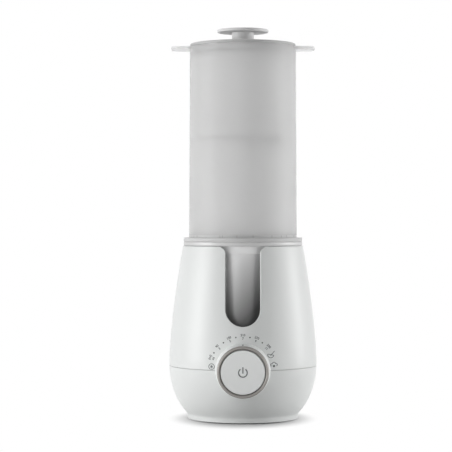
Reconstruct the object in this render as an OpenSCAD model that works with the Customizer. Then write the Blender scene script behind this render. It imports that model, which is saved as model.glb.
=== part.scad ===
// Bottle warmer with a steam tower, as an assembly of separate pieces.
// The origin is on the table at the base's axis, +Z is up and the dial faces -Y.

/* [Base shells] */
// Width of the base at its belly
body_w = 142; // [138:1:150]
// Width of the upper shell at its top edge
neck_w = 115.6; // [113:0.2:122]
// Height of the upper shell's top edge
body_top = 166.8; // [156:0.2:180]
// Height of the belly, the widest place of the base
belly_h = 54; // [50:1:60]
// Height of the seam between the two shells, and of the dial's axis
seam_h = 51.6; // [48:0.2:54]
// Bend of the upper shell's side, where 1 is a straight cone
shoulder_bend = 1.5; // [1.2:0.1:2]
// Wall of both shells
shell_wall = 2.5; // [2:0.1:3]
// Width of the foot ring
foot_w = 106; // [100:1:112]
// Height of the foot ring's upper edge
foot_ring_h = 5.3; // [4.8:0.1:8]
// How far the bowl's curve would run on below the foot ring
bowl_ease = 8.3; // [5:0.1:14]
// Height of the tongue that guides the upper shell onto the lower one
tongue_h = 4; // [2:0.5:6]
// Thickness of the tongue
tongue_wall = 1.8; // [1.2:0.1:2.4]

/* [Bottom] */
// Gap between the foot ring and the table
foot_gap = 0.9; // [0.4:0.1:2]
// How deep the base plate sits inside the foot ring
plate_inset = 1; // [0.5:0.1:2]
// Thickness of the base plate
plate_t = 2.5; // [2.2:0.1:3.5]
// Thickness of the lower shell's floor
floor_t = 2.5; // [2:0.1:4]
// Width of the hole in the lower shell's floor
floor_hole_w = 66; // [50:1:68]
// Outer width of the rubber foot pad
pad_w = 97; // [92:1:98]
// Width of the foot pad's ring
pad_ring_w = 5; // [3:0.5:6]
// How deep the foot pad is let into the base plate
pad_sink = 1.1; // [0.6:0.1:1.4]
// Distance of the base screws from the axis
base_screw_reach = 38; // [37.6:0.1:39]
// Height of the screw bosses above the floor's underside
boss_h = 9.6; // [8:0.2:12]

/* [Window] */
// Width of the window in the upper shell
window_w = 33; // [24:1:40]
// Height of the window's round lower end
window_bottom = 92; // [86:1:110]
// Rounding of the window's two upper corners
window_corner = 3.6; // [2:0.2:6]

/* [Water chamber and rim] */
// Inner width of the water chamber
chamber_w = 90; // [84:0.5:92]
// Wall of the water chamber
chamber_wall = 2; // [1.6:0.1:2.4]
// Height of the chamber's floor, inside
chamber_floor_h = 76; // [70:0.5:84]
// Thickness of the chamber's floor
chamber_floor_t = 2.2; // [1.8:0.1:3]
// Thickness of the flange that the chamber hangs by
chamber_flange_t = 1.7; // [1.2:0.1:2.2]
// Width of the rim ring on top of the base
rim_w = 114.2; // [112:0.2:118]
// Height of the rim ring's visible band
rim_h = 3; // [2.4:0.1:5]
// Shadow gap between the upper shell and the rim ring
rim_gap = 0.5; // [0.3:0.1:1]
// How far the rim ring's neck reaches down into the upper shell
rim_neck_h = 2.8; // [2:0.1:5]
// How far the rim ring's skirt reaches below its band
rim_skirt_h = 8; // [6:0.2:12]
// Thickness of the rim ring's skirt
rim_skirt_t = 2; // [1.6:0.1:2.4]
// Thickness of the shell's ledge under the rim ring
ledge_t = 2.2; // [1.6:0.1:3]

/* [Heater] */
// Width of the heater plate's flange
heater_w = 78; // [70:0.5:86]
// How far the flange reaches under the chamber's floor
heater_lip = 7; // [5:0.5:9]
// Thickness of the heater plate's flange
heater_t = 2; // [1.5:0.1:3]
// Thickness of the silicone seal, pressed
seal_t = 1.2; // [0.8:0.1:2]
// Thickness of the clamp ring
clamp_t = 3; // [2:0.1:4]
// Inner width of the clamp ring
clamp_hole_w = 56; // [54:1:64]
// Gap between the heater plate's flange and the bosses of the clamp screws
clamp_boss_gap = 0.9; // [0.4:0.1:1.6]
// Middle radius of the heating element
element_reach = 22; // [18:0.5:23]
// Width of the heating element's tube
element_w = 7; // [5:0.2:8]
// Width of the thermostat's can
thermostat_w = 16; // [12:0.5:17]
// Length of the element's two terminals
terminal_l = 8; // [6:0.5:9]

/* [Dial] */
// Width of the dial at the body
dial_w = 50.4; // [46:0.2:53]
// Width of the dial's white front edge
dial_front_w = 48.6; // [47:0.2:50]
// How far the dial's front stands out of the belly
dial_proud = 20; // [17:0.5:24]
// Wall of the dial's skirt
dial_wall = 2.2; // [1.8:0.1:2.6]
// Width of the metal-look trim ring
trim_w = 48; // [46.5:0.1:48.6]
// Thickness of the trim ring's visible band
trim_t = 3; // [2:0.2:4]
// Width of the power button's face
button_w = 40.6; // [38:0.2:41.5]
// Travel of the power button
button_travel = 1; // [0.5:0.1:1.2]
// Width of the flange that clamps the dial cup behind the shells
cup_flange_w = 4.3; // [3.6:0.1:5]
// Thickness of the dial cup's floor and flange
cup_floor_t = 2; // [1.6:0.1:3]
// Length of the encoder's body
encoder_l = 6.5; // [6:0.1:7.5]
// Side of the encoder's square body
encoder_w = 24; // [20:0.5:30]
// Outer radius of the hollow encoder shaft
shaft_r = 6.2; // [6:0.05:6.6]
// Outer radius of the encoder's threaded bush
bush_r = 8; // [7.6:0.1:8.6]
// Radius of the button's stem
stem_r = 4.4; // [3.6:0.1:4.6]

/* [Electronics] */
// Height of the control board above the table
board_h = 18.9; // [17:0.1:22]
// Length of the control board
board_l = 76; // [72:1:84]
// Width of the control board
board_w = 56; // [54:1:60]
// Thickness of both circuit boards
board_t = 1.6; // [1:0.1:2]
// Height of the cord's way out at the back
gland_h = 24; // [22:0.5:30]
// Radius of the bore for the cord
gland_bore_r = 3.6; // [2.5:0.1:4]

/* [Steam tower] */
// Outer width of the sleeve at its foot
tower_w = 103.8; // [102.4:0.2:106]
// Outer width of the sleeve at its top edge
tower_top_w = 102.1; // [100:0.1:104]
// Height of the tower from the rim ring to its top edge
tower_h = 187.3; // [170:0.1:220]
// Wall of the sleeve
tower_wall = 2.2; // [1.8:0.1:2.8]
// Width of the tower's foot flange
flange_w = 114.2; // [110:0.2:118]
// Height of the foot flange
flange_h = 3.9; // [3:0.1:6]
// Thickness of the ledge that carries the basket
tower_floor_t = 2.5; // [2:0.1:3.5]
// Width of the steam opening in the tower's floor
steam_hole_w = 80; // [60:1:82]
// How deep the tower's spigot plugs into the water chamber
spigot_h = 6; // [4:0.5:8]
// Span over the tips of the two ears
ear_span = 138; // [126:1:150]
// Width of an ear
ear_w = 30; // [20:1:40]
// Thickness of an ear
ear_t = 2.6; // [2:0.1:4]
// Rounding of an ear's corners
ear_corner = 8; // [3:0.5:9]

/* [Basket and tray] */
// Gap between the sleeve's top opening and the basket
basket_gap = 1.8; // [1:0.1:3]
// Wall of the basket and the tray
basket_wall = 1.8; // [1.4:0.1:2.4]
// Height of the bottle basket
basket_h = 96.2; // [80:0.2:110]
// Thickness of the perforated floors
basket_floor_t = 2; // [1.5:0.1:3]
// Height of the ring that nests the tray in the basket
nest_h = 4; // [2:0.5:6]

/* [Lid] */
// Width of the lid
lid_w = 101.4; // [100:0.2:104]
// Height of the lid's edge
lid_edge = 2.1; // [1.6:0.1:3]
// Rise of the lid towards its middle
lid_crown = 1.1; // [0.5:0.1:4]
// Depth of the lid's skirt in the sleeve
lid_skirt_h = 5.8; // [4:0.2:10]
// Thickness of the lid's skirt
lid_skirt_t = 2; // [1.4:0.1:2.4]
// Width of the lid knob's disc
knob_w = 49.4; // [40:0.2:60]
// Width of the lid knob's stem
knob_stem_w = 21.5; // [16:0.5:26]
// Clear height under the knob's disc, above the lid's edge
knob_clear = 12; // [9:0.5:20]
// Height of the knob's disc
knob_t = 3.8; // [3:0.1:6]

/* [Fits] */
// Gap around pieces that are put together by hand
fit_gap = 0.3; // [0.2:0.05:0.4]
// Radial clearance of a turning shaft
run_gap = 0.05; // [0.02:0.01:0.09]
// Radial clearance of a pressed or screwed piece
press_gap = 0.02; // [0.01:0.01:0.04]
// Radial gap around the tower's spigot
spigot_gap = 0.5; // [0.35:0.05:0.8]
// Gap between the moving dial and the cup behind it
dial_gap = 0.4; // [0.3:0.05:0.6]
// Gap between the button and the trim ring
button_gap = 0.6; // [0.4:0.05:0.9]
// Height left between the tray and the lid's skirt
tray_play = 0.8; // [0.4:0.1:2]

/* [Hidden] */
$fn = 96;

// Straight steps along each curved profile
profile_steps = 10;
// A cut runs this far past the face that it opens
cut = 1;
// Turn of the dial's hole about its axis, so that the circle's start lies off the seam
hole_turn = 37;
white = "#eef0ef";
pale = "#dfe2e2";
frost = "#b9bdbf";
grey = "#9a9da0";
smoke = "#7d8083";
taupe = "#a3968c";
steel = "#c4c7c9";
black = "#2b2c2e";
board_green = "#2f6b45";
cream = "#d8d2c0";

// Radii of the base's main circles
belly_r = body_w / 2;
neck_r = neck_w / 2;
foot_r = foot_w / 2;
chamber_r = chamber_w / 2;
chamber_out_r = chamber_r + chamber_wall;

// The bowl is part of an ellipse that is upright at the belly and ends on the foot ring
bowl_drop = belly_h - foot_ring_h;
bowl_b = bowl_drop + bowl_ease;
bowl_a = (belly_r - foot_r) / (1 - sqrt(1 - pow(bowl_drop / bowl_b, 2)));
function bowl_r(z) = belly_r - bowl_a * (1 - sqrt(1 - pow((belly_h - z) / bowl_b, 2)));
function shoulder_share(z) = pow((z - belly_h) / (body_top - belly_h), shoulder_bend);
function shoulder_r(z) = belly_r - (belly_r - neck_r) * shoulder_share(z);
function body_r(z) = z < belly_h ? bowl_r(z) : shoulder_r(z);

// Heights of the bottom
plate_z = foot_gap + plate_inset;
floor_z = plate_z + plate_t;
plate_r = foot_r - shell_wall - fit_gap;
pad_r = pad_w / 2;
pad_in_r = pad_r - pad_ring_w;

// Heights and radii of the rim
rim_z = body_top + rim_gap;
rim_top = rim_z + rim_h;
ledge_top = rim_z - rim_neck_h;
skirt_in_r = chamber_out_r + fit_gap;
skirt_out_r = skirt_in_r + rim_skirt_t;
chamber_flange_r = skirt_out_r;
chamber_seat = rim_top - fit_gap - chamber_flange_t;
ledge_in_r = skirt_out_r + fit_gap;

// Heights of the heater stack, from the chamber's floor down
chamber_under = chamber_floor_h - chamber_floor_t;
heater_top = chamber_under - seal_t;
heater_z = heater_top - heater_t;
clamp_z = heater_z - clamp_t;
element_z = heater_z - element_w;
terminal_z = element_z - terminal_l;
clamp_boss_r = 2.6;
clamp_edge = 0.9;
clamp_screw_reach = heater_w / 2 + clamp_boss_gap + clamp_boss_r;
clamp_r = clamp_screw_reach + clamp_boss_r + clamp_edge;
chamber_base_r = max(chamber_out_r, clamp_r);
heater_hole_r = heater_w / 2 - heater_lip;
clamp_screw_r = 1.2;
clamp_screw_head_t = 1.6;
terminal_x = 6;
terminal_r = 1.6;
lead_r = 1.3;
sensor_y = -13;
sensor_r = 2.5;
sensor_l = 6;
sensor_lead_r = 0.8;
sensor_lead_x = 1.3;
blade_w = 4;
blade_t = 0.8;
blade_l = 6;

// Screws, where the radius is that of the shank
// and the spare is how far a hole runs past the end of its screw
screw_spare = 1.2;
base_screw_r = 1.4;
base_head_r = 3;
base_head_t = 1.6;
base_head_sink = 1.4;
base_boss_r = 4;
base_screw_l = plate_t - base_head_sink + boss_h - screw_spare;
board_screw_r = 1.2;
board_head_r = 2.4;
board_head_t = 1.6;
board_post_r = 3.4;
board_screw_l = 8;
board_screw_edge = 6;

// The dial's stack, measured outwards along its axis from the base's own axis
dial_r = dial_w / 2;
dial_front_r = dial_front_w / 2;
cup_set_in = 0.8;
cup_r = dial_r - cup_set_in;
cup_wall = 2.2;
dial_hole_r = cup_r + fit_gap;
cup_flange_r = dial_hole_r + cup_flange_w;
seat_depth = 1;
seat_side = sqrt(pow(body_r(seam_h) - shell_wall, 2) - pow(cup_flange_r, 2));
seat_below = body_r(seam_h - cup_flange_r) - shell_wall;
cup_seat = min(seat_side, seat_below) - seat_depth;
cup_back = cup_seat - cup_floor_t;
encoder_back = cup_back - encoder_l;
dial_board_back = encoder_back - board_t;
cup_front = belly_r + dial_gap;
dial_back = cup_front + dial_gap;
dial_front = belly_r + dial_proud;
trim_back = dial_front - trim_t;
trim_spigot_h = 4;
web_t = 2.5;
web_clear = 0.5;
web_front = trim_back - trim_spigot_h - web_clear;
nut_t = 2.5;
nut_rim = 3;
nut_r = bush_r + nut_rim;
bush_show = 2;
bush_front = cup_seat + nut_t + bush_show;
hub_gap = 1;
hub_back = bush_front + hub_gap;
hub_wall = 3.3;
hub_r = shaft_r + hub_wall;
shaft_in_r = stem_r + fit_gap;
shaft_set_in = 1;
shaft_back = encoder_back + shaft_set_in;
button_r = button_w / 2;
button_face_t = 2.4;
button_inset = 0.4;
button_rim_t = 1.8;
button_rim_h = 2.2;
button_front = dial_front - button_inset;
button_back = button_front - button_face_t;
trim_in_r = button_r + button_gap;
switch_w = 6;
switch_t = 3;
plunger_r = 1.7;
plunger_hold = 0.8;
plunger_front = encoder_back + switch_t + button_travel;
plunger_back = encoder_back + switch_t - plunger_hold;
switch_well = plunger_back - button_travel - fit_gap;
cup_screw_reach = (dial_hole_r + cup_flange_r) / 2;
cup_screw_r = 1;
cup_screw_bite = 2.4;
cup_screw_l = cup_floor_t + cup_screw_bite;
cup_head_r = 1.9;
cup_head_t = 1.4;

// The dial board, as seen from the front, and its connector
dial_board_w = 30;
dial_board_drop = 16;
dial_board_rise = 13;
connector_w = 16;
connector_h = 5;
connector_t = 4;
ribbon_w = 12;
ribbon_t = 1;

// The control board's parts, as [x, y] places on the board
board_top = board_h + board_t;
board_screw_x = board_l / 2 - board_screw_edge;
board_screw_y = board_w / 2 - board_screw_edge;
relay_at = [-24, -2];
relay_size = [20, 16, 15];
terminal_at = [24, 8];
terminal_size = [22, 12, 12];
capacitor_at = [24, -12];
capacitor_r = 5;
capacitor_h = 14;
heater_connector_size = [22, 6, 6];
sensor_connector_size = [8, 6, 5];
ribbon_connector_size = [18, 5, 5];
ribbon_connector_y = -24;

// The cord's gland, measured outwards along its axis from the base's own axis
gland_wall = 2.4;
gland_r = gland_bore_r + gland_wall;
gland_lip = 1.6;
gland_head_r = gland_r + gland_lip;
gland_head_t = 2.2;
gland_l = 12;
gland_boss_edge = 1;
gland_boss_r = gland_head_r + gland_boss_edge;
gland_face = bowl_r(gland_h + gland_boss_r) + fit_gap;

// The tower, from the rim ring up
tower_r = tower_w / 2;
tower_top_r = tower_top_w / 2;
tower_mouth_r = tower_top_r - tower_wall;
flange_r = flange_w / 2;
flange_top = rim_top + flange_h;
flange_edge = 1.2;
tower_top = rim_top + tower_h;
spigot_r = chamber_r - spigot_gap;
spigot_wall = 2;
steam_hole_r = steam_hole_w / 2;
basket_r = tower_mouth_r - basket_gap;
basket_z = rim_top + tower_floor_t;
tray_z = basket_z + basket_h;
tray_top = tower_top - lid_skirt_h - tray_play;
nest_r = basket_r - basket_wall - fit_gap;
nest_wall = 1.8;

// Holes of the perforated floors, in the middle and in two rings over the steam opening
middle_hole_r = 8;
inner_hole_r = 6;
outer_hole_r = 4;
outer_hole_turn = 15;
outer_hole_reach = steam_hole_r - outer_hole_r;
inner_hole_reach = (middle_hole_r + outer_hole_reach - outer_hole_r) / 2;

// The lid and its knob
lid_r = lid_w / 2;
lid_skirt_r = tower_mouth_r - fit_gap;
lid_top = tower_top + lid_edge;
lid_round = 0.9;
knob_seat_rise = 0.2;
knob_seat = lid_top + lid_crown + knob_seat_rise;
knob_seat_edge = 1.2;
knob_seat_r = knob_stem_w / 2 + knob_seat_edge;
knob_r = knob_w / 2;
knob_under = lid_top + knob_clear;
knob_lip = 0.7;
knob_screw_r = 2;
knob_head_r = 4.2;
knob_head_t = 2.4;
knob_screw_bite = 8;
knob_screw_l = knob_seat - tower_top + knob_screw_bite;
vent_r = 1.6;
vent_reach = 32;

// Steps from one number to another, both ends included
function steps(from, to) = [for (i = [0:profile_steps]) from + (to - from) * i / profile_steps];

// Shared shapes

module ring(r_out, r_in, from, to) {
    translate([0, 0, from])
        difference() {
            cylinder(r = r_out, h = to - from);
            translate([0, 0, -cut])
                cylinder(r = r_in, h = to - from + 2 * cut);
        }
}

module post(r, from, to) {
    translate([0, 0, from])
        cylinder(r = r, h = to - from);
}

module block(size, from) {
    translate([-size.x / 2, -size.y / 2, from])
        cube(size);
}

module around(count, reach, turn = 0) {
    for (i = [0:count - 1])
        rotate(turn + i * 360 / count)
            translate([reach, 0, 0])
                children();
}

// Places of the screws
module at_board_screws() {
    for (x = [-1, 1], y = [-1, 1])
        translate([x * board_screw_x, y * board_screw_y, 0])
            children();
}

module at_base_screws() {
    around(4, base_screw_reach)
        children();
}

module at_clamp_screws() {
    around(4, clamp_screw_reach, 45)
        children();
}

module at_cup_screws() {
    around(4, cup_screw_reach, 45)
        children();
}

// A screw whose shank points up from z = 0, with its head below
module screw(shank_r, length, head_r, head_t) {
    cylinder(r = shank_r, h = length);
    translate([0, 0, -head_t])
        cylinder(r = head_r, h = head_t);
}

// Places what is drawn upwards so that it points out of the front, on the dial's axis
module at_dial() {
    translate([0, 0, seam_h])
        rotate([90, 0, 0])
            children();
}

// Places what is drawn upwards so that it points out of the back, on the cord's axis
module at_gland() {
    translate([0, 0, gland_h])
        rotate([-90, 0, 0])
            children();
}

// Points on the body's side between two heights, set in from its outer face
function body_side(from, to, inset = 0) = [for (z = steps(from, to)) [body_r(z) - inset, z]];

// Flat seat behind the dial's hole, between two heights of the body, which ends inside the shell's wall
module dial_seat(from, to) {
    intersection() {
        rotate_extrude()
            polygon(concat([[0, from]], body_side(from, to, shell_wall / 2), [[0, to]]));
        at_dial()
            rotate(hole_turn)
                post(cup_flange_r, cup_seat, belly_r);
    }
}

// Dial's hole with the holes of the cup's screws
module dial_cuts() {
    at_dial() {
        rotate(hole_turn)
            post(dial_hole_r, cup_back, belly_r + cut);
        at_cup_screws()
            post(cup_screw_r + press_gap, cup_seat - cut, cup_back + cup_screw_l);
    }
}

module perforation(from, to) {
    post(middle_hole_r, from - cut, to + cut);
    around(6, inner_hole_reach)
        post(inner_hole_r, from - cut, to + cut);
    around(12, outer_hole_reach, outer_hole_turn)
        post(outer_hole_r, from - cut, to + cut);
}

// Base shells

module window_outline() {
    arc_z = window_bottom + window_w / 2;
    corner_x = window_w / 2 + window_corner;
    translate([0, arc_z])
        circle(d = window_w);
    translate([-window_w / 2, arc_z])
        square([window_w, body_top + cut - arc_z]);
    difference() {
        translate([-corner_x, body_top - window_corner])
            square([2 * corner_x, window_corner + cut]);
        for (side = [-1, 1])
            translate([side * corner_x, body_top - window_corner])
                circle(r = window_corner);
    }
}

module upper_shell() {
    color(white)
        difference() {
            union() {
                rotate_extrude()
                    polygon(concat(body_side(seam_h, body_top), body_side(body_top, seam_h, shell_wall)));
                ring(body_r(ledge_top) - shell_wall / 2, ledge_in_r, ledge_top - ledge_t, ledge_top);
                dial_seat(seam_h, seam_h + cup_flange_r + cut);
            }
            dial_cuts();
            rotate([90, 0, 0])
                translate([0, 0, chamber_r / 2])
                    linear_extrude(belly_r)
                        window_outline();
        }
}

// The bowl with its foot ring and its floor, as one turned shape
module bowl() {
    inside_z = floor_z + floor_t;
    rotate_extrude()
        polygon(concat(
            body_side(seam_h, foot_ring_h),
            [[foot_r, foot_gap], [foot_r - shell_wall, foot_gap], [foot_r - shell_wall, floor_z]],
            [[floor_hole_w / 2, floor_z], [floor_hole_w / 2, inside_z]],
            body_side(inside_z, seam_h, shell_wall)
        ));
}

// The tongue inside the seam, which stops at both sides of the dial
module tongue() {
    wall_r = body_r(seam_h) - shell_wall;
    stop = asin((cup_flange_r + cut) / wall_r);
    rotate(stop - 90)
        rotate_extrude(angle = 360 - 2 * stop)
            polygon([
                [wall_r - tongue_wall, seam_h - tongue_h],
                [wall_r + shell_wall / 2, seam_h - tongue_h],
                [wall_r + shell_wall / 2, seam_h],
                [wall_r - fit_gap, seam_h],
                [wall_r - fit_gap, seam_h + tongue_h],
                [wall_r - tongue_wall, seam_h + tongue_h]
            ]);
}

module lower_shell() {
    color(white)
        difference() {
            union() {
                bowl();
                tongue();
                at_base_screws()
                    post(base_boss_r, floor_z, floor_z + boss_h);
                at_board_screws()
                    post(board_post_r, floor_z, board_h);
                dial_seat(seam_h - cup_flange_r - cut, seam_h);
                at_gland()
                    post(gland_boss_r, gland_face - gland_l, gland_face);
            }
            dial_cuts();
            at_base_screws()
                post(base_screw_r + press_gap, floor_z - cut, floor_z + boss_h + cut);
            at_board_screws()
                post(board_screw_r + press_gap, board_h - board_screw_l, board_h + cut);
            at_gland()
                post(gland_r + press_gap, gland_face - gland_l - cut, gland_face + cut);
        }
}

module base_plate() {
    color(white)
        difference() {
            post(plate_r, plate_z, floor_z);
            ring(pad_r + press_gap, pad_in_r - press_gap, plate_z - cut, plate_z + pad_sink);
            at_base_screws() {
                post(base_screw_r + fit_gap, plate_z - cut, floor_z + cut);
                post(base_head_r + fit_gap, plate_z - cut, plate_z + base_head_sink);
            }
        }
}

module foot_pad() {
    color(black)
        ring(pad_r, pad_in_r, 0, plate_z + pad_sink);
}

module base_screws() {
    color(steel)
        at_base_screws()
            translate([0, 0, plate_z + base_head_sink])
                screw(base_screw_r, base_screw_l, base_head_r, base_head_t);
}

module cord_gland() {
    color(black)
        at_gland()
            difference() {
                union() {
                    post(gland_r, gland_face - gland_l, gland_face);
                    post(gland_head_r, gland_face, gland_face + gland_head_t);
                }
                post(gland_bore_r, gland_face - gland_l - cut, gland_face + gland_head_t + cut);
            }
}

// Rim and water chamber

module rim_ring() {
    neck_out_r = neck_r - shell_wall - fit_gap;
    seat_r = chamber_flange_r + fit_gap;
    rim_r = rim_w / 2;
    color(pale)
        rotate_extrude()
            polygon([
                [skirt_in_r, rim_z - rim_skirt_h],
                [skirt_out_r, rim_z - rim_skirt_h],
                [skirt_out_r, ledge_top],
                [neck_out_r, ledge_top],
                [neck_out_r, rim_z],
                [rim_r, rim_z],
                [rim_r, rim_top],
                [seat_r, rim_top],
                [seat_r, chamber_seat],
                [skirt_in_r, chamber_seat]
            ]);
}

module water_chamber() {
    color(smoke)
        difference() {
            union() {
                ring(chamber_out_r, chamber_r, chamber_under, chamber_seat + chamber_flange_t);
                ring(chamber_flange_r, chamber_r, chamber_seat, chamber_seat + chamber_flange_t);
                ring(chamber_base_r, heater_hole_r, chamber_under, chamber_floor_h);
                at_clamp_screws()
                    post(clamp_boss_r, heater_z, chamber_under + cut);
            }
            at_clamp_screws()
                post(clamp_screw_r + press_gap, heater_z - cut, chamber_under + cut);
        }
}

module heater_plate() {
    color(steel) {
        post(heater_w / 2, heater_z, heater_top);
        post(heater_hole_r - fit_gap, heater_z, chamber_floor_h - fit_gap);
    }
}

module chamber_seal() {
    color(cream)
        ring(heater_w / 2 - fit_gap, heater_hole_r, heater_top, chamber_under);
}

module heating_element() {
    color(steel) {
        rotate_extrude()
            translate([element_reach, 0]) {
                translate([0, element_z + element_w / 2])
                    circle(d = element_w);
                translate([-element_w / 2, element_z + element_w / 2])
                    square([element_w, element_w / 2]);
            }
        for (side = [-1, 1])
            translate([side * terminal_x, element_reach, 0])
                post(terminal_r, terminal_z, heater_z - element_w / 2);
    }
}

module heater_clamp() {
    color(steel)
        difference() {
            ring(clamp_r, clamp_hole_w / 2, clamp_z, heater_z);
            at_clamp_screws()
                post(clamp_screw_r + press_gap, clamp_z - cut, heater_z + cut);
        }
}

module clamp_screws() {
    color(steel)
        at_clamp_screws()
            translate([0, 0, clamp_z])
                screw(clamp_screw_r, chamber_under - clamp_z, clamp_boss_r, clamp_screw_head_t);
}

module thermostat() {
    color(black) {
        post(thermostat_w / 2, heater_z - sensor_l, heater_z);
        for (side = [-1, 1])
            translate([side * thermostat_w / 4, 0, 0])
                block([blade_t, blade_w, blade_l + cut], heater_z - sensor_l - blade_l);
    }
}

module temperature_sensor() {
    color(steel)
        translate([0, sensor_y, 0])
            post(sensor_r, heater_z - sensor_l, heater_z);
}

// Electronics

module control_board() {
    color(board_green)
        difference() {
            block([board_l, board_w, board_t], board_h);
            at_board_screws()
                post(board_screw_r + fit_gap, board_h - cut, board_top + cut);
        }
}

module board_screws() {
    color(steel)
        at_board_screws()
            translate([0, 0, board_top])
                mirror([0, 0, 1])
                    screw(board_screw_r, board_screw_l + board_t - screw_spare, board_head_r, board_head_t);
}

module power_relay() {
    color(black)
        translate(relay_at)
            block(relay_size, board_top);
}

module terminal_block() {
    color(board_green)
        translate(terminal_at)
            block(terminal_size, board_top);
}

module supply_capacitor() {
    color(black)
        translate(capacitor_at)
            post(capacitor_r, board_top, board_top + capacitor_h);
}

module lead_connectors() {
    color(cream) {
        translate([0, element_reach, 0])
            block(heater_connector_size, board_top);
        translate([0, sensor_y, 0])
            block(sensor_connector_size, board_top);
        translate([0, ribbon_connector_y, 0])
            block(ribbon_connector_size, board_top);
        at_dial()
            translate([0, connector_h - dial_board_drop, 0])
                block([connector_w, connector_h, connector_t], dial_board_back - connector_t);
    }
}

module heater_leads() {
    color("firebrick")
        for (side = [-1, 1])
            translate([side * terminal_x, element_reach, 0])
                post(lead_r, board_top + heater_connector_size.z, terminal_z);
}

module sensor_leads() {
    color("white")
        for (side = [-1, 1])
            translate([side * sensor_lead_x, sensor_y, 0])
                post(sensor_lead_r, board_top + sensor_connector_size.z, heater_z - sensor_l);
}

// A flat cable in the middle plane, from the dial board's connector to the control board's
module ribbon_cable() {
    from = [connector_t / 2 - dial_board_back, seam_h - dial_board_drop + connector_h / 2];
    to = [ribbon_connector_y, board_top + ribbon_connector_size.z];
    bend = 4;
    route = [from, from - [0, bend], to + [0, bend], to];
    color(cream)
        rotate([90, 0, 90])
            translate([0, 0, -ribbon_w / 2])
                linear_extrude(ribbon_w) {
                    for (i = [0:2])
                        ribbon_run(route[i], route[i + 1]);
                    for (i = [1:2])
                        translate(route[i])
                            circle(d = ribbon_t);
                }
}

module ribbon_run(from, to) {
    way = to - from;
    translate(from)
        rotate(atan2(way.y, way.x))
            translate([0, -ribbon_t / 2])
                square([norm(way), ribbon_t]);
}

// Dial

module dial_cup() {
    color(white)
        at_dial()
            difference() {
                union() {
                    ring(cup_r, cup_r - cup_wall, cup_back, cup_front);
                    post(cup_flange_r, cup_back, cup_seat);
                }
                post(bush_r + press_gap, cup_back - cut, cup_seat + cut);
                at_cup_screws()
                    post(cup_screw_r + press_gap, cup_back - cut, cup_seat + cut);
            }
}

module cup_screws() {
    color(steel)
        at_dial()
            at_cup_screws()
                translate([0, 0, cup_back])
                    screw(cup_screw_r, cup_screw_l, cup_head_r, cup_head_t);
}

module dial_board() {
    color(board_green)
        at_dial()
            translate([-dial_board_w / 2, -dial_board_drop, dial_board_back])
                cube([dial_board_w, dial_board_drop + dial_board_rise, board_t]);
}

module encoder_body() {
    color(black)
        at_dial()
            difference() {
                union() {
                    block([encoder_w, encoder_w, encoder_l], encoder_back);
                    post(bush_r, encoder_back, bush_front);
                }
                post(shaft_r + run_gap, encoder_back - cut, bush_front + cut);
            }
}

module encoder_nut() {
    color(steel)
        at_dial()
            difference() {
                translate([0, 0, cup_seat])
                    cylinder(r = nut_r, h = nut_t, $fn = 6);
                post(bush_r + press_gap, cup_seat - cut, cup_seat + nut_t + cut);
            }
}

module encoder_shaft() {
    color(steel)
        at_dial()
            ring(shaft_r, shaft_in_r, shaft_back, web_front);
}

module tact_switch() {
    color(black)
        at_dial()
            difference() {
                block([switch_w, switch_w, switch_t], encoder_back);
                post(plunger_r + fit_gap, switch_well, encoder_back + switch_t + cut);
            }
}

module switch_plunger() {
    color(cream)
        at_dial()
            post(plunger_r, plunger_back, plunger_front);
}

module dial_knob() {
    color(white)
        at_dial() {
            rotate_extrude()
                polygon([
                    [dial_r - dial_wall, dial_back],
                    [dial_r, dial_back],
                    [dial_front_r, trim_back],
                    [dial_front_r - dial_wall, trim_back],
                    [dial_front_r - dial_wall, web_front],
                    [shaft_r + press_gap, web_front],
                    [shaft_r + press_gap, hub_back],
                    [hub_r, hub_back],
                    [hub_r, web_front - web_t],
                    [dial_front_r - dial_wall, web_front - web_t]
                ]);
        }
}

module dial_trim() {
    spigot_r = dial_front_r - dial_wall - press_gap;
    trim_r = trim_w / 2;
    edge = 0.5;
    dip = 1;
    color(taupe)
        at_dial()
            rotate_extrude()
                polygon([
                    [trim_in_r, trim_back - trim_spigot_h],
                    [spigot_r, trim_back - trim_spigot_h],
                    [spigot_r, trim_back],
                    [trim_r, trim_back],
                    [trim_r, dial_front - edge],
                    [trim_r - edge, dial_front],
                    [trim_in_r, dial_front - dip]
                ]);
}

module power_button() {
    color(pale)
        at_dial() {
            post(button_r, button_back, button_front);
            ring(button_r, button_r - button_rim_t, button_back - button_rim_h, button_back + cut);
            post(stem_r, plunger_front, button_back + cut);
        }
}

// Steam tower

module ear_outline() {
    x = ear_span / 2;
    y = ear_w / 2;
    square([2 * x - 2 * ear_corner, 2 * y], center = true);
    square([2 * x, 2 * y - 2 * ear_corner], center = true);
    for (side = [-1, 1], end = [-1, 1])
        translate([side * (x - ear_corner), end * (y - ear_corner)])
            circle(r = ear_corner);
}

module tower_sleeve() {
    color(frost) {
        rotate_extrude()
            polygon([
                [spigot_r - spigot_wall, rim_top - spigot_h],
                [spigot_r, rim_top - spigot_h],
                [spigot_r, rim_top],
                [flange_r - flange_edge, rim_top],
                [flange_r, rim_top + flange_edge],
                [flange_r, flange_top],
                [tower_r, flange_top],
                [tower_top_r, tower_top],
                [tower_mouth_r, tower_top],
                [tower_r - tower_wall, basket_z],
                [steam_hole_r, basket_z],
                [steam_hole_r, rim_top],
                [spigot_r - spigot_wall, rim_top]
            ]);
        difference() {
            translate([0, 0, tower_top - ear_t])
                linear_extrude(ear_t)
                    ear_outline();
            post(tower_mouth_r + tower_wall / 2, tower_top - ear_t - cut, tower_top + cut);
        }
    }
}

module bottle_basket() {
    color(frost)
        difference() {
            post(basket_r, basket_z, tray_z);
            post(basket_r - basket_wall, basket_z + basket_floor_t, tray_z + cut);
            perforation(basket_z, basket_z + basket_floor_t);
        }
}

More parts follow.
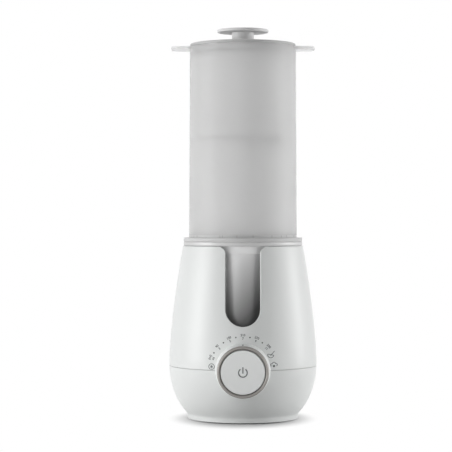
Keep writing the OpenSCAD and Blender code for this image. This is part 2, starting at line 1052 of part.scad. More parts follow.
module teat_tray() {
    color(frost) {
        difference() {
            post(basket_r, tray_z, tray_top);
            post(basket_r - basket_wall, tray_z + basket_floor_t, tray_top + cut);
            perforation(tray_z, tray_z + basket_floor_t);
        }
        ring(nest_r, nest_r - nest_wall, tray_z - nest_h, tray_z + cut);
    }
}

module lid() {
    function crown(r) = lid_top + lid_crown * (1 - pow(r / lid_r, 2));
    edge = [for (t = steps(0, 90)) [lid_r - lid_round * (1 - cos(t)), lid_top - lid_round * (1 - sin(t))]];
    dome = [for (r = steps(lid_r - 2 * lid_round, knob_seat_r)) [r, crown(r)]];
    color(grey)
        difference() {
            rotate_extrude()
                polygon(concat(
                    [[0, tower_top], [lid_skirt_r - lid_skirt_t, tower_top]],
                    [[lid_skirt_r - lid_skirt_t, tower_top - lid_skirt_h]],
                    [[lid_skirt_r, tower_top - lid_skirt_h], [lid_skirt_r, tower_top], [lid_r, tower_top]],
                    edge,
                    dome,
                    [[knob_seat_r, knob_seat], [0, knob_seat]]
                ));
            post(knob_screw_r + press_gap, tower_top - cut, knob_seat + cut);
            around(6, vent_reach)
                post(vent_r, tower_top - cut, knob_seat + cut);
        }
}

module lid_knob() {
    dome = [for (t = steps(0, 90)) [knob_r * cos(t), knob_under + knob_lip + (knob_t - knob_lip) * sin(t)]];
    stem = knob_stem_w / 2;
    color(grey)
        difference() {
            rotate_extrude()
                polygon(concat(
                    [[0, knob_seat], [stem, knob_seat], [stem, knob_under], [knob_r - knob_lip, knob_under]],
                    dome
                ));
            post(knob_screw_r + press_gap, knob_seat - cut, tower_top + knob_screw_l + cut);
        }
}

module knob_screw() {
    color(steel)
        translate([0, 0, tower_top])
            screw(knob_screw_r, knob_screw_l, knob_head_r, knob_head_t);
}

upper_shell();
lower_shell();
base_plate();
foot_pad();
base_screws();
cord_gland();
rim_ring();
water_chamber();
heater_plate();
chamber_seal();
heating_element();
heater_clamp();
clamp_screws();
thermostat();
temperature_sensor();
control_board();
board_screws();
power_relay();
terminal_block();
supply_capacitor();
lead_connectors();
heater_leads();
sensor_leads();
ribbon_cable();
dial_cup();
cup_screws();
dial_board();
encoder_body();
encoder_nut();
encoder_shaft();
tact_switch();
switch_plunger();
dial_knob();
dial_trim();
power_button();
tower_sleeve();
bottle_basket();
teat_tray();
lid();
lid_knob();
knob_screw();
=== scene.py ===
# A table-top bottle warmer with a steam tower: its looks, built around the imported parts.
# Lengths are in metres in the parts' own frame, with +Z up and the dial facing -Y.
import math
from collections import Counter

import bpy
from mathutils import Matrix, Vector
from mathutils.geometry import intersect_point_line


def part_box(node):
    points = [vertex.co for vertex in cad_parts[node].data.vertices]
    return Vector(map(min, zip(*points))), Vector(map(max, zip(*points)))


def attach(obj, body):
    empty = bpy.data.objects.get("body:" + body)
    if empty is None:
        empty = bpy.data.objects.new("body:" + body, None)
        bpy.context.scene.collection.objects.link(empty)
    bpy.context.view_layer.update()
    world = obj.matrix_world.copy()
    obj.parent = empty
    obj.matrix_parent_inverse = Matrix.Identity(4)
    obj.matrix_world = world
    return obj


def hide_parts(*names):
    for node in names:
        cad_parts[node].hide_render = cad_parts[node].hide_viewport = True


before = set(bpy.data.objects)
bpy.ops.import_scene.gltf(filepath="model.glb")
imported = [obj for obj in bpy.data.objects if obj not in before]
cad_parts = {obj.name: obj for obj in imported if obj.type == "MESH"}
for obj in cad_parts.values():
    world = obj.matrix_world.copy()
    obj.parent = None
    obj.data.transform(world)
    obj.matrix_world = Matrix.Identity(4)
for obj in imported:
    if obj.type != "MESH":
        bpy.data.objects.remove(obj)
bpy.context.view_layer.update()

# Camera
# A long lens at about the height of the tower's foot, so that the sides stand upright.
# It is turned a little, because the object stands right of the picture's middle.
camera_at = (0, -1.708, 0.193)
camera_down = math.radians(0.26)
camera_left = math.radians(0.547)
film_width = 36
lens_length = 141
bpy.ops.object.camera_add(location=camera_at, rotation=(math.pi / 2 - camera_down, 0, camera_left))
camera = bpy.context.object
camera.data.sensor_width = film_width
camera.data.lens = lens_length
bpy.context.scene.camera = camera
bpy.context.scene.view_settings.view_transform = "Standard"


# Studio
# A white sweep with soft boxes: strong ones at each side and overhead, weak ones at the front.
# The floor keeps the contact shadow near the foot and runs out to plain white.
def linear(hex_colour):
    """Linear red, green, blue and alpha of an sRGB hex colour."""
    shares = [int(hex_colour[i:i + 2], 16) / 255 for i in (1, 3, 5)]
    return [s / 12.92 if s <= 0.04045 else ((s + 0.055) / 1.055) ** 2.4 for s in shares] + [1]


def add_node(tree, kind, inputs=None, **settings):
    """Adds a node with its settings. An input is linked where it is given a socket, and otherwise set."""
    node = tree.nodes.new(kind)
    for name, value in settings.items():
        setattr(node, name, value)
    for socket, value in (inputs or {}).items():
        if isinstance(value, bpy.types.NodeSocket):
            tree.links.new(value, node.inputs[socket])
        else:
            node.inputs[socket].default_value = value
    return node


def seen_directly(tree):
    """1 for what the camera sees, also in a gloss or through glass, and 0 for light on the object."""
    path = add_node(tree, "ShaderNodeLightPath").outputs
    bent = {0: path["Is Glossy Ray"], 1: path["Is Transmission Ray"]}
    mirrored = add_node(tree, "ShaderNodeMath", bent, operation="ADD").outputs[0]
    either = {0: path["Is Camera Ray"], 1: mirrored}
    return add_node(tree, "ShaderNodeMath", either, operation="ADD", use_clamp=True).outputs[0]


ambient_strength = 0.1
sweep = bpy.data.worlds.new("white_sweep")
bpy.context.scene.world = sweep
sweep.use_nodes = True
tree = sweep.node_tree
tree.nodes.clear()
backdrop = add_node(tree, "ShaderNodeBackground", {"Color": linear("#ffffff"), "Strength": 1}).outputs[0]
faint_light = {"Color": linear("#f8f8f8"), "Strength": ambient_strength}
ambient = add_node(tree, "ShaderNodeBackground", faint_light).outputs[0]
shown = add_node(tree, "ShaderNodeMixShader", {0: seen_directly(tree), 1: ambient, 2: backdrop})
add_node(tree, "ShaderNodeOutputWorld", {"Surface": shown.outputs[0]})

# Matt paper has no gloss, so that only the soft contact shadow shows on it
floor_size = 8
shadow_near = 0.053
shadow_far = 0.1
shadow_narrow = 1.35
bpy.ops.object.select_all(action="DESELECT")
bpy.ops.mesh.primitive_plane_add(size=floor_size)
floor = bpy.context.object
floor.name = "studio_floor"
floor_paper = bpy.data.materials.new("white_paper_floor")
floor_paper.use_nodes = True
tree = floor_paper.node_tree
paper = tree.nodes["Principled BSDF"]
paper.inputs["Base Color"].default_value = linear("#d2d2d2")
paper.inputs["Roughness"].default_value = 0.9
paper.inputs["Specular IOR Level"].default_value = 0
place = add_node(tree, "ShaderNodeTexCoord").outputs["Object"]
oval = add_node(tree, "ShaderNodeMapping", {"Vector": place, "Scale": (shadow_narrow, 1, 1)}).outputs[0]
reach = add_node(tree, "ShaderNodeVectorMath", {0: oval}, operation="LENGTH").outputs["Value"]
fade = {"Value": reach, "From Min": shadow_near, "From Max": shadow_far}
open_floor = add_node(tree, "ShaderNodeMapRange", fade, interpolation_type="SMOOTHSTEP").outputs[0]
both = {0: seen_directly(tree), 1: open_floor}
whitened = add_node(tree, "ShaderNodeMath", both, operation="MULTIPLY").outputs[0]
glow = add_node(tree, "ShaderNodeEmission", {"Color": linear("#ffffff"), "Strength": 1})
blend = add_node(tree, "ShaderNodeMixShader", {0: whitened, 1: paper.outputs[0], 2: glow.outputs[0]})
tree.links.new(blend.outputs[0], tree.nodes["Material Output"].inputs["Surface"])
floor.data.materials.append(floor_paper)

# The boxes aren't seen themselves, also not through the frosted wall. Each has a name, degrees round
# from the camera's side (left is negative), degrees up, distance, width, length and watts.
lamp_aim = Vector((0, 0, 0.16))
lamps = [
    ("left_box", -74, 4, 1.3, 0.6, 0.6, 11.8),
    ("right_box", 97, 4, 1.3, 0.45, 0.6, 8.5),
    ("front_right_box", 70, 8, 1.3, 0.45, 0.6, 2.2),
    ("front_strip", -17, 5, 0.5, 0.12, 0.3, 0.2),
    ("front_box", 0, 2, 1.3, 1.4, 0.3, 1.2),
    ("top_box", 180, 70, 1.3, 0.45, 0.6, 14.4),
]
for name, round_degrees, up_degrees, distance, width, length, watts in lamps:
    turn = math.radians(round_degrees)
    rise = math.radians(up_degrees)
    side = Vector((math.sin(turn), -math.cos(turn), 0)) * math.cos(rise)
    spot = lamp_aim + distance * (side + Vector((0, 0, math.sin(rise))))
    aim = (lamp_aim - spot).to_track_quat("-Z", "Y").to_euler()
    bpy.ops.object.light_add(type="AREA", location=spot, rotation=aim)
    lamp = bpy.context.object
    lamp.name = name
    lamp.data.shape = "RECTANGLE"
    lamp.data.size = width
    lamp.data.size_y = length
    lamp.data.energy = watts
    lamp.visible_camera = False
    lamp.visible_transmission = False

# Lower shell
# The bowl of the base, moulded in white ABS with a fine spark-eroded satin texture.
# Its foot ring surrounds the base plate, and the front is cut away for the dial.
mm = 0.001


def spread(start, end, count):
    """Evenly spaced values from start to end, in a count of steps."""
    return [start + (end - start) * i / count for i in range(count + 1)]


def pick(*pieces):
    """Selects these pieces alone, with the first one active."""
    bpy.ops.object.select_all(action="DESELECT")
    for piece in pieces:
        piece.select_set(True)
    bpy.context.view_layer.objects.active = pieces[0]


def turned(name, outline, centre=(0, 0, 0), axis=(0, 0, 1), columns=160, closed=True):
    """Spins an outline of (radius, place along the axis) points once round the axis."""
    merge = 0.001 * mm
    bpy.ops.object.select_all(action="DESELECT")
    bpy.ops.mesh.primitive_circle_add(vertices=len(outline), radius=mm)
    piece = bpy.context.object
    piece.name = piece.data.name = name
    for vertex, (radius, along) in zip(piece.data.vertices, outline):
        vertex.co = Vector(centre) + Vector((radius, 0, 0)) + along * Vector(axis)
    for edge in piece.data.edges:
        edge.select = set(edge.vertices) == {0, len(outline) - 1}
    for vertex in piece.data.vertices:
        vertex.select = False
    bpy.ops.object.mode_set(mode="EDIT")
    bpy.ops.mesh.select_mode(type="EDGE")
    if not closed:
        bpy.ops.mesh.delete(type="EDGE")
    bpy.ops.mesh.select_all(action="SELECT")
    bpy.ops.mesh.spin(steps=columns, angle=math.tau, center=centre, axis=axis)
    bpy.ops.mesh.select_all(action="SELECT")
    bpy.ops.mesh.remove_doubles(threshold=merge)
    bpy.ops.mesh.normals_make_consistent(inside=False)
    bpy.ops.object.mode_set(mode="OBJECT")
    return piece


def add_modifier(piece, kind, **settings):
    """Gives a piece a modifier with its settings, and applies it."""
    pick(piece)
    bpy.ops.object.modifier_add(type=kind)
    modifier = piece.modifiers[-1]
    for name, value in settings.items():
        setattr(modifier, name, value)
    bpy.ops.object.modifier_apply(modifier=modifier.name)


def smooth(piece, angle=35):
    """Shades a piece smooth, apart from edges that bend by more than the angle."""
    pick(piece)
    bpy.ops.object.shade_smooth_by_angle(angle=math.radians(angle))


def round_edges(piece, width, segments=3, angle=35):
    """Rounds every edge that bends by more than the angle, as a mould's edges are."""
    smooth(piece, angle)
    add_modifier(piece, "BEVEL", width=width, segments=segments, limit_method="ANGLE",
                 angle_limit=math.radians(angle), use_clamp_overlap=False, harden_normals=True)


def join(piece, *others):
    """Makes the others part of the first piece."""
    pick(piece, *others)
    bpy.ops.object.join()


def dress(piece, material, body, slot, *nodes):
    """Gives a piece its material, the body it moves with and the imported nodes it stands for."""
    piece.data.materials.clear()
    piece.data.materials.append(material)
    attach(piece, body)
    if nodes:
        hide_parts(*nodes)


def is_inside(outline, x, z):
    """Whether a point lies within a closed outline, seen from the front."""
    inside = False
    for (x1, z1), (x2, z2) in zip(outline, outline[1:] + outline[:1]):
        if (z1 > z) != (z2 > z) and x < x1 + (x2 - x1) * (z - z1) / (z2 - z1):
            inside = not inside
    return inside


def open_hole(piece, outline, drawn_in):
    """Opens a hole in the front of a thin skin: the faces that reach into the outline go,
    and the edge that is left, within the drawn_in distance, is drawn onto the outline."""
    merge = 0.3 * mm
    mesh = piece.data
    in_hole = [v.co.y < 0 and is_inside(outline, v.co.x, v.co.z) for v in mesh.vertices]
    for part in (*mesh.vertices, *mesh.edges):
        part.select = False
    for face in mesh.polygons:
        face.select = any(in_hole[i] for i in face.vertices)
    pick(piece)
    bpy.ops.object.mode_set(mode="EDIT")
    bpy.ops.mesh.select_mode(type="FACE")
    bpy.ops.mesh.delete(type="FACE")
    bpy.ops.object.mode_set(mode="OBJECT")
    uses = Counter(key for face in mesh.polygons for key in face.edge_keys)
    rim = {i for key, count in uses.items() if count == 1 for i in key}
    lines = [(Vector(a), Vector(b)) for a, b in zip(outline, outline[1:] + outline[:1])]
    for vertex in (mesh.vertices[i] for i in rim):
        if vertex.co.y > 0:
            continue
        flat = Vector((vertex.co.x, vertex.co.z))
        nearest = []
        for a, b in lines:
            share = intersect_point_line(flat, a, b)[1]
            spot = a.lerp(b, min(max(share, 0), 1))
            nearest.append(((spot - flat).length, spot))
        distance, spot = min(nearest, key=lambda pair: pair[0])
        if distance < drawn_in:
            vertex.co = (spot.x, -math.sqrt(side_r(spot.y) ** 2 - spot.x ** 2), spot.y)
    bpy.ops.object.mode_set(mode="EDIT")
    bpy.ops.mesh.select_all(action="SELECT")
    bpy.ops.mesh.remove_doubles(threshold=merge)
    bpy.ops.object.mode_set(mode="OBJECT")


def moulded(name, colour, roughness, grain=0.7 * mm, depth=0.006 * mm, mottle=0.03):
    """A moulded plastic: even colour with a faint flow mottle, and a fine texture from the mould.
    Real mould texture is about 0.1 mm, so the grain is drawn coarser to show at all."""
    flow_size = 30 * mm
    satin_vary = 0.05
    plastic_ior = 1.53
    material = bpy.data.materials.new(name)
    material.use_nodes = True
    tree = material.node_tree
    shader = tree.nodes["Principled BSDF"]
    shader.inputs["IOR"].default_value = plastic_ior
    place = add_node(tree, "ShaderNodeTexCoord").outputs["Object"]
    flow_noise = {"Vector": place, "Scale": 1 / flow_size, "Detail": 2}
    flow = add_node(tree, "ShaderNodeTexNoise", flow_noise).outputs["Fac"]
    light = linear(colour)
    dark = [share * (1 - mottle) for share in light[:3]] + [1]
    tint = add_node(tree, "ShaderNodeMix", {"Factor": flow, 6: light, 7: dark}, data_type="RGBA")
    tree.links.new(tint.outputs[2], shader.inputs["Base Color"])
    grain_noise = {"Vector": place, "Scale": 1 / grain, "Detail": 3}
    texture = add_node(tree, "ShaderNodeTexNoise", grain_noise).outputs["Fac"]
    satin_range = {"Value": texture, "To Min": roughness - satin_vary, "To Max": roughness + satin_vary}
    satin = add_node(tree, "ShaderNodeMapRange", satin_range)
    tree.links.new(satin.outputs[0], shader.inputs["Roughness"])
    relief = add_node(tree, "ShaderNodeBump", {"Height": texture, "Distance": depth, "Strength": 1})
    tree.links.new(relief.outputs[0], shader.inputs["Normal"])
    return material


seam_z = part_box("upper_shell")[0].z
body_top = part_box("upper_shell")[1].z
foot_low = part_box("lower_shell")[0].z
belly_r = 71 * mm
belly_z = 54 * mm
neck_r = 57.8 * mm
shoulder_bend = 1.5
foot_r = 53.5 * mm
foot_blend = 0.9 * mm
bowl_a = 37.5 * mm
bowl_b = 57 * mm
bowl_rows = 48
shell_columns = 256
shell_wall = 2.5 * mm
shell_edge = 0.18 * mm
seam_gap = 0.3 * mm


def side_r(z):
    """Radius of the base's outside: part of an ellipse below the belly, a bent cone above it."""
    if z < belly_z:
        return belly_r - bowl_a * (1 - math.sqrt(1 - ((belly_z - z) / bowl_b) ** 2))
    return belly_r - (belly_r - neck_r) * ((z - belly_z) / (body_top - belly_z)) ** shoulder_bend


dial_hole_r = 24.7 * mm
dial_hole_points = 96
hole_pull = 3.2 * mm
hole_turns = spread(0, math.tau, dial_hole_points)[:-1]
dial_hole = [(dial_hole_r * math.cos(a), seam_z + dial_hole_r * math.sin(a)) for a in hole_turns]

# White ABS from a spark-eroded mould: an even, slightly cool white with a soft satin sheen
white_abs = moulded("satin_white_abs", "#e0e2e1", 0.44)
lower_side = []
for z in spread(seam_z - seam_gap, foot_low, bowl_rows):
    beyond = side_r(z) - foot_r
    lower_side.append((foot_r + (beyond + math.hypot(beyond, foot_blend)) / 2, z))
lower_shell = turned("lower_shell_moulding", lower_side, columns=shell_columns, closed=False)
open_hole(lower_shell, dial_hole, hole_pull)
add_modifier(lower_shell, "SOLIDIFY", thickness=shell_wall, offset=-1, use_even_offset=True)
round_edges(lower_shell, shell_edge)

floor_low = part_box("base_plate")[1].z
floor_hole_r = 33 * mm
floor_t = 2.5 * mm
floor_reach = foot_r - shell_wall / 2
floor_outline = [
    (floor_hole_r, floor_low), (floor_reach, floor_low),
    (floor_reach, floor_low + floor_t), (floor_hole_r, floor_low + floor_t),
]
shell_floor = turned("shell_floor", floor_outline)
smooth(shell_floor)

gland_low, gland_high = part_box("cord_gland")
gland_z = (gland_low.z + gland_high.z) / 2
gland_head = 2.2 * mm
gland_r = 6 * mm
gland_columns = 64
boss_r = 8.6 * mm
boss_edge = 0.5 * mm
boss_face = gland_high.y - gland_head
boss_outline = [(gland_r, gland_low.y), (boss_r, gland_low.y), (boss_r, boss_face), (gland_r, boss_face)]
gland_boss = turned("gland_boss", boss_outline, (0, 0, gland_z), (0, 1, 0), gland_columns)
round_edges(gland_boss, boss_edge)
join(lower_shell, shell_floor, gland_boss)
dress(lower_shell, white_abs, "base", "white_plastic", "lower_shell")

# Cord gland
# A black rubber bush in the back of the bowl, made to guide a mains cord.
# It is pressed into its boss, and its head is ribbed so that it bends easily.
gland_bore_r = 3.6 * mm
gland_head_r = 7.6 * mm
rib_steps = 6
rib_depth = 0.5 * mm
rib_edge = 0.12 * mm
rib_at = spread(boss_face, gland_high.y, rib_steps)
gland_outline = [(gland_bore_r, gland_low.y), (gland_r, gland_low.y), (gland_r, boss_face)]
gland_outline += [(gland_head_r - rib_depth * (i % 2), y) for i, y in enumerate(rib_at)]
gland_outline += [(gland_bore_r, gland_high.y)]
gland = turned("cord_bush", gland_outline, (0, 0, gland_z), (0, 1, 0), gland_columns)
round_edges(gland, rib_edge, segments=2)
# Filled rubber: a dull near-black, a little uneven
rubber = moulded("black_rubber", "#232425", 0.7, grain=0.5 * mm, depth=0.012 * mm, mottle=0.15)
dress(gland, rubber, "base", "rubber", "cord_gland")


# Base plate and foot pad
# The white ABS plate closes the bowl from below with four screws, and a rubber ring is let into it.
# Both are plain moulded rounds, and the ring's edges are softened.
def clean_cuts(piece):
    """Takes out the doubled points, thin faces and in-line points that cutting leaves."""
    merge = 0.01 * mm
    flat_within = math.radians(0.01)
    pick(piece)
    bpy.ops.object.mode_set(mode="EDIT")
    bpy.ops.mesh.select_mode(type="VERT")
    bpy.ops.mesh.select_all(action="SELECT")
    bpy.ops.mesh.remove_doubles(threshold=merge)
    bpy.ops.mesh.dissolve_limited(angle_limit=flat_within, delimit={"MATERIAL"})
    bpy.ops.object.mode_set(mode="OBJECT")


def combine(piece, tool, operation):
    """Cuts a tool solid from a piece, adds it or keeps what both share, and takes the tool away."""
    add_modifier(piece, "BOOLEAN", operation=operation, solver="EXACT", object=tool)
    bpy.data.objects.remove(tool)


def drill(piece, radius, depth, reach, degrees, z, sides=32):
    """Drills an upright hole at a distance and an angle from the object's axis, centred at height z."""
    turn = math.radians(degrees)
    spot = (reach * math.cos(turn), reach * math.sin(turn), z)
    bpy.ops.mesh.primitive_cylinder_add(radius=radius, depth=depth, location=spot, vertices=sides)
    combine(piece, bpy.context.object, "DIFFERENCE")


plate_low, plate_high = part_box("base_plate")
pad_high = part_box("foot_pad")[1]
pad_w = 5 * mm
pad_in_r = pad_high.x - pad_w
pad_edge = 0.5 * mm
screw_reach = 38 * mm
screw_well_r = 3.3 * mm
screw_well_h = 2 * (pad_high.z - plate_low.z)
plate_outline = [
    (0, plate_low.z), (pad_in_r, plate_low.z), (pad_in_r, pad_high.z), (pad_high.x, pad_high.z),
    (pad_high.x, plate_low.z), (plate_high.x, plate_low.z), (plate_high.x, plate_high.z), (0, plate_high.z),
]
base_plate = turned("base_plate_moulding", plate_outline)
for degrees in (0, 90, 180, 270):
    drill(base_plate, screw_well_r, screw_well_h, screw_reach, degrees, plate_low.z)
clean_cuts(base_plate)
smooth(base_plate)
dress(base_plate, white_abs, "base", "white_plastic", "base_plate")

pad_outline = [(pad_in_r, 0), (pad_high.x, 0), (pad_high.x, pad_high.z), (pad_in_r, pad_high.z)]
foot_pad = turned("foot_pad_ring", pad_outline)
round_edges(foot_pad, pad_edge)
dress(foot_pad, rubber, "base", "rubber", "foot_pad")

# Upper shell
# The tapered white ABS housing, which sits on the bowl at a fine seam.
# A round-ended window is open at the top, with its two upper corners flared.
window_r = 16.7 * mm
window_low = 92 * mm
window_flare = 4.4 * mm
flare_flatness = 1.8
flare_steps = 10
end_steps = 40
upper_rows = 84
rim_low, rim_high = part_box("rim_ring")
rim_band = 3.95 * mm
rim_z = rim_high.z - rim_band
rim_gap = 0.2 * mm
shell_top = rim_z - rim_gap
arc_z = window_low + window_r
flare_x = window_r + window_flare
flare_z = shell_top - window_flare
right_flare = []
for a in spread(0, math.pi / 2, flare_steps):
    inwards = window_flare * math.cos(a) ** flare_flatness
    upwards = window_flare * math.sin(a) ** flare_flatness
    right_flare.append((flare_x - inwards, flare_z + upwards))
left_flare = [(-x, z) for x, z in reversed(right_flare)]
end_turns = spread(-math.pi, 0, end_steps)
round_end = [(window_r * math.cos(a), arc_z + window_r * math.sin(a)) for a in end_turns]
above = shell_top + window_flare
window = left_flare + round_end + right_flare + [(flare_x, above), (-flare_x, above)]

upper_side = [(side_r(z), z) for z in spread(seam_z, shell_top, upper_rows)]
upper_shell = turned("upper_shell_moulding", upper_side, columns=shell_columns, closed=False)
open_hole(upper_shell, dial_hole, hole_pull)
open_hole(upper_shell, window, hole_pull)
add_modifier(upper_shell, "SOLIDIFY", thickness=shell_wall, offset=-1, use_even_offset=True)
round_edges(upper_shell, shell_edge)
dress(upper_shell, white_abs, "base", "white_plastic", "upper_shell")

# Dial scale
# Grey pad-printed marks round the dial: volumes in two rows, dots between them and three signs.
# The ink lies on the curved shell, and the figures are turned to face outwards from the dial.
outer_row = 32.8 * mm
inner_row = 29.7 * mm
dot_row = 31.4 * mm
sign_row = 29.3 * mm
figure_h = 3 * mm
figure_bold = 0.07 * mm
line_w = 0.55 * mm
dot_r = 0.72 * mm
ink_t = 0.05 * mm
speck_size = 0.4 * mm

# Pad-print ink: a dark grey film, which fine specks keep from looking flat. Real specks are too
# small to show, so they are drawn coarser.
ink = bpy.data.materials.new("grey_pad_print_ink")
ink.use_nodes = True
tree = ink.node_tree
shader = tree.nodes["Principled BSDF"]
shader.inputs["Roughness"].default_value = 0.5
place = add_node(tree, "ShaderNodeTexCoord").outputs["Object"]
specks = add_node(tree, "ShaderNodeTexNoise", {"Vector": place, "Scale": 1 / speck_size, "Detail": 2})
ink_tones = {"Factor": specks.outputs["Fac"], 6: linear("#4e5152"), 7: linear("#5e6162")}
shade = add_node(tree, "ShaderNodeMix", ink_tones, data_type="RGBA")
tree.links.new(shade.outputs[2], shader.inputs["Base Color"])
marks = []


def put(mark, degrees, reach, lean):
    """Lays a flat mark on the shell, at an angle and a distance from the dial's middle, leaning to the
    right, and keeps it for the scale."""
    turn = math.radians(degrees)
    tilt = math.radians(lean)
    for vertex in mark.data.vertices:
        across, up, _ = vertex.co
        x = reach * math.sin(turn) + across * math.cos(tilt) + up * math.sin(tilt)
        z = seam_z + reach * math.cos(turn) - across * math.sin(tilt) + up * math.cos(tilt)
        vertex.co = (x, -math.sqrt(side_r(z) ** 2 - x ** 2), z)
    marks.append(mark)


def ink_word(word):
    """A figure or a short word as a flat mesh."""
    merge = 0.02 * mm
    bpy.ops.object.text_add()
    text = bpy.context.object
    text.data.body = word
    text.data.size = figure_h
    text.data.offset = figure_bold
    text.data.resolution_u = 3
    text.data.align_x = "CENTER"
    text.data.align_y = "CENTER"
    bpy.ops.object.convert(target="MESH")
    bpy.ops.object.mode_set(mode="EDIT")
    bpy.ops.mesh.select_all(action="SELECT")
    bpy.ops.mesh.remove_doubles(threshold=merge)
    bpy.ops.object.mode_set(mode="OBJECT")
    return bpy.context.object


def flat_patch(outline):
    """A single flat face with this outline."""
    bpy.ops.mesh.primitive_circle_add(vertices=len(outline), radius=mm, fill_type="NGON")
    patch = bpy.context.object
    for vertex, (x, y) in zip(patch.data.vertices, outline):
        vertex.co = (x, y, 0)
    return patch


def ink_line(points, width):
    """A drawn line of even width through a list of points, or straight between two."""
    straight_steps = 8
    if len(points) == 2:
        start, end = (Vector(point) for point in points)
        points = [start.lerp(end, share) for share in spread(0, 1, straight_steps)]
    left = []
    right = []
    for i, point in enumerate(points):
        before = Vector(points[max(i - 1, 0)])
        after = Vector(points[min(i + 1, len(points) - 1)])
        along = (after - before).normalized()
        across = Vector((-along.y, along.x)) * width / 2
        left.append(Vector(point) + across)
        right.append(Vector(point) - across)
    return flat_patch(left + right[::-1])


def thicken_ink(print_piece):
    """Turns every mark of a print to the front and gives the ink its thickness outwards."""
    for part in (*print_piece.data.vertices, *print_piece.data.edges):
        part.select = False
    for face in print_piece.data.polygons:
        face.select = face.normal.y > 0
    pick(print_piece)
    bpy.ops.object.mode_set(mode="EDIT")
    bpy.ops.mesh.select_mode(type="FACE")
    bpy.ops.mesh.flip_normals()
    bpy.ops.object.mode_set(mode="OBJECT")
    add_modifier(print_piece, "SOLIDIFY", thickness=ink_t, offset=1)


def arc(centre, radius, start, end, count=16):
    """Points along part of a circle, between two angles in degrees."""
    angles = [math.radians(a) for a in spread(start, end, count)]
    return [(centre[0] + radius * math.cos(a), centre[1] + radius * math.sin(a)) for a in angles]


def ink_dot(centre, radius, points):
    """A round dot."""
    return flat_patch(arc(centre, radius, 0, 360 - 360 / points, points - 1))


# Degrees round from the top, then the figures of the outer and the inner row
figures = [
    (0, "210", "7"), (-23.4, "150", "5"), (-47, "90", "3"), (-68.5, "(ml)", "oz"),
    (23.4, "270", "9"), (47, "330", "11"),
]
for degrees, upper, lower in figures:
    put(ink_word(upper), degrees, outer_row, degrees)
    put(ink_word(lower), degrees, inner_row, degrees)
for degrees in (-59, -35, -12, 12, 35):
    put(ink_dot((0, 0), dot_r, points=16), degrees, dot_row, 0)

# The signs: a flake in a ring for thawing, a bowl with a spoon for food, a cloud for steam
flake_at = -83.4
flake_r = 2.6 * mm
flake_arm = 0.6
for half in (0, 180):
    put(ink_line(arc((0, 0), flake_r, half, half + 180, count=20), line_w), flake_at, sign_row, 0)
for a in (30, 90, 150):
    tip = Vector((math.cos(math.radians(a)), math.sin(math.radians(a)))) * flake_r * flake_arm
    put(ink_line([-tip, tip], line_w), flake_at, sign_row, 0)
bowl_at = 60.6
bowl_row = 29.7 * mm
bowl_lean = 12
bowl_sign_r = 2.9 * mm
spoon = [(-0.2 * mm, -0.9 * mm), (3.6 * mm, 3.4 * mm)]
put(ink_line(arc((0, 0), bowl_sign_r, 180, 360), line_w), bowl_at, bowl_row, bowl_lean)
put(ink_line([(-bowl_sign_r, 0), (bowl_sign_r, 0)], line_w), bowl_at, bowl_row, bowl_lean)
put(ink_line(spoon, line_w), bowl_at, bowl_row, 0)
cloud_at = 80
cloud_side = 2 * mm
puff_r = 1.1 * mm
crown_r = 1.6 * mm
crown_up = 0.8 * mm
drop_r = 1.1 * mm
drop_down = 1.2 * mm
put(ink_line(arc((-cloud_side, 0), puff_r, 70, 250), line_w), cloud_at, sign_row, 0)
put(ink_line(arc((0, crown_up), crown_r, 0, 180), line_w), cloud_at, sign_row, 0)
put(ink_line(arc((cloud_side, 0), puff_r, 110, -70), line_w), cloud_at, sign_row, 0)
put(ink_dot((0, -drop_down), drop_r, points=12), cloud_at, sign_row, 0)

dial_scale = marks[0]
join(*marks)
dial_scale.name = dial_scale.data.name = "dial_scale_print"
thicken_ink(dial_scale)
dress(dial_scale, ink, "base", "white_plastic")

# Rim ring
# The pearl grey ring of lacquered ABS that closes the top of the base, snapped into the upper shell.
# Its band is softly crowned and undercut above the window, and a white skirt hangs round the chamber.
rim_crown = 0.4 * mm
rim_edge = 0.15 * mm
rim_neck_r = 55 * mm
rim_neck_h = 2.8 * mm
ledge_z = rim_z - rim_neck_h
skirt_in_r = 47.3 * mm
skirt_out_r = 49.3 * mm
seat_r = 49.6 * mm
seat_depth = 2 * mm
seat_z = rim_high.z - seat_depth
band_steps = 12
band = []
for share in spread(0, 1, band_steps):
    band.append((rim_high.x - rim_crown * (2 * share - 1) ** 2, rim_z + rim_band * share))
rim_outline = [(skirt_out_r, ledge_z), (rim_neck_r, ledge_z), (rim_neck_r, rim_z)] + band
rim_outline += [(seat_r, rim_high.z), (seat_r, seat_z), (skirt_out_r, seat_z)]
rim_ring = turned("rim_ring_moulding", rim_outline, columns=shell_columns)
gap_reach = 3 * mm
gap_past = 1 * mm
gap_bite = 0.2 * mm
gap_low = ledge_z - gap_past
gap_in_r = skirt_out_r - gap_bite
gap_outline = [(gap_in_r, gap_low), (rim_high.x, gap_low), (rim_high.x, rim_z), (gap_in_r, rim_z)]
neck_gap = turned("neck_gap", gap_outline)
bpy.ops.mesh.primitive_cube_add(size=1, location=(0, -rim_high.x, rim_z))
gap_block = bpy.context.object
gap_block.scale = (2 * (flare_x + gap_reach), rim_high.x, rim_high.x)
combine(neck_gap, gap_block, "INTERSECT")
combine(rim_ring, neck_gap, "DIFFERENCE")
clean_cuts(rim_ring)
round_edges(rim_ring, rim_edge, segments=2)
# Lacquered ABS: smoother than the shell, with a trace of pearl that catches the lamps
pearl_abs = moulded("pearl_grey_lacquered_abs", "#cacaca", 0.45, depth=0.001 * mm, mottle=0.02)
pearl_abs.node_tree.nodes["Principled BSDF"].inputs["Metallic"].default_value = 0.1
dress(rim_ring, pearl_abs, "base", "pale_plastic", "rim_ring")

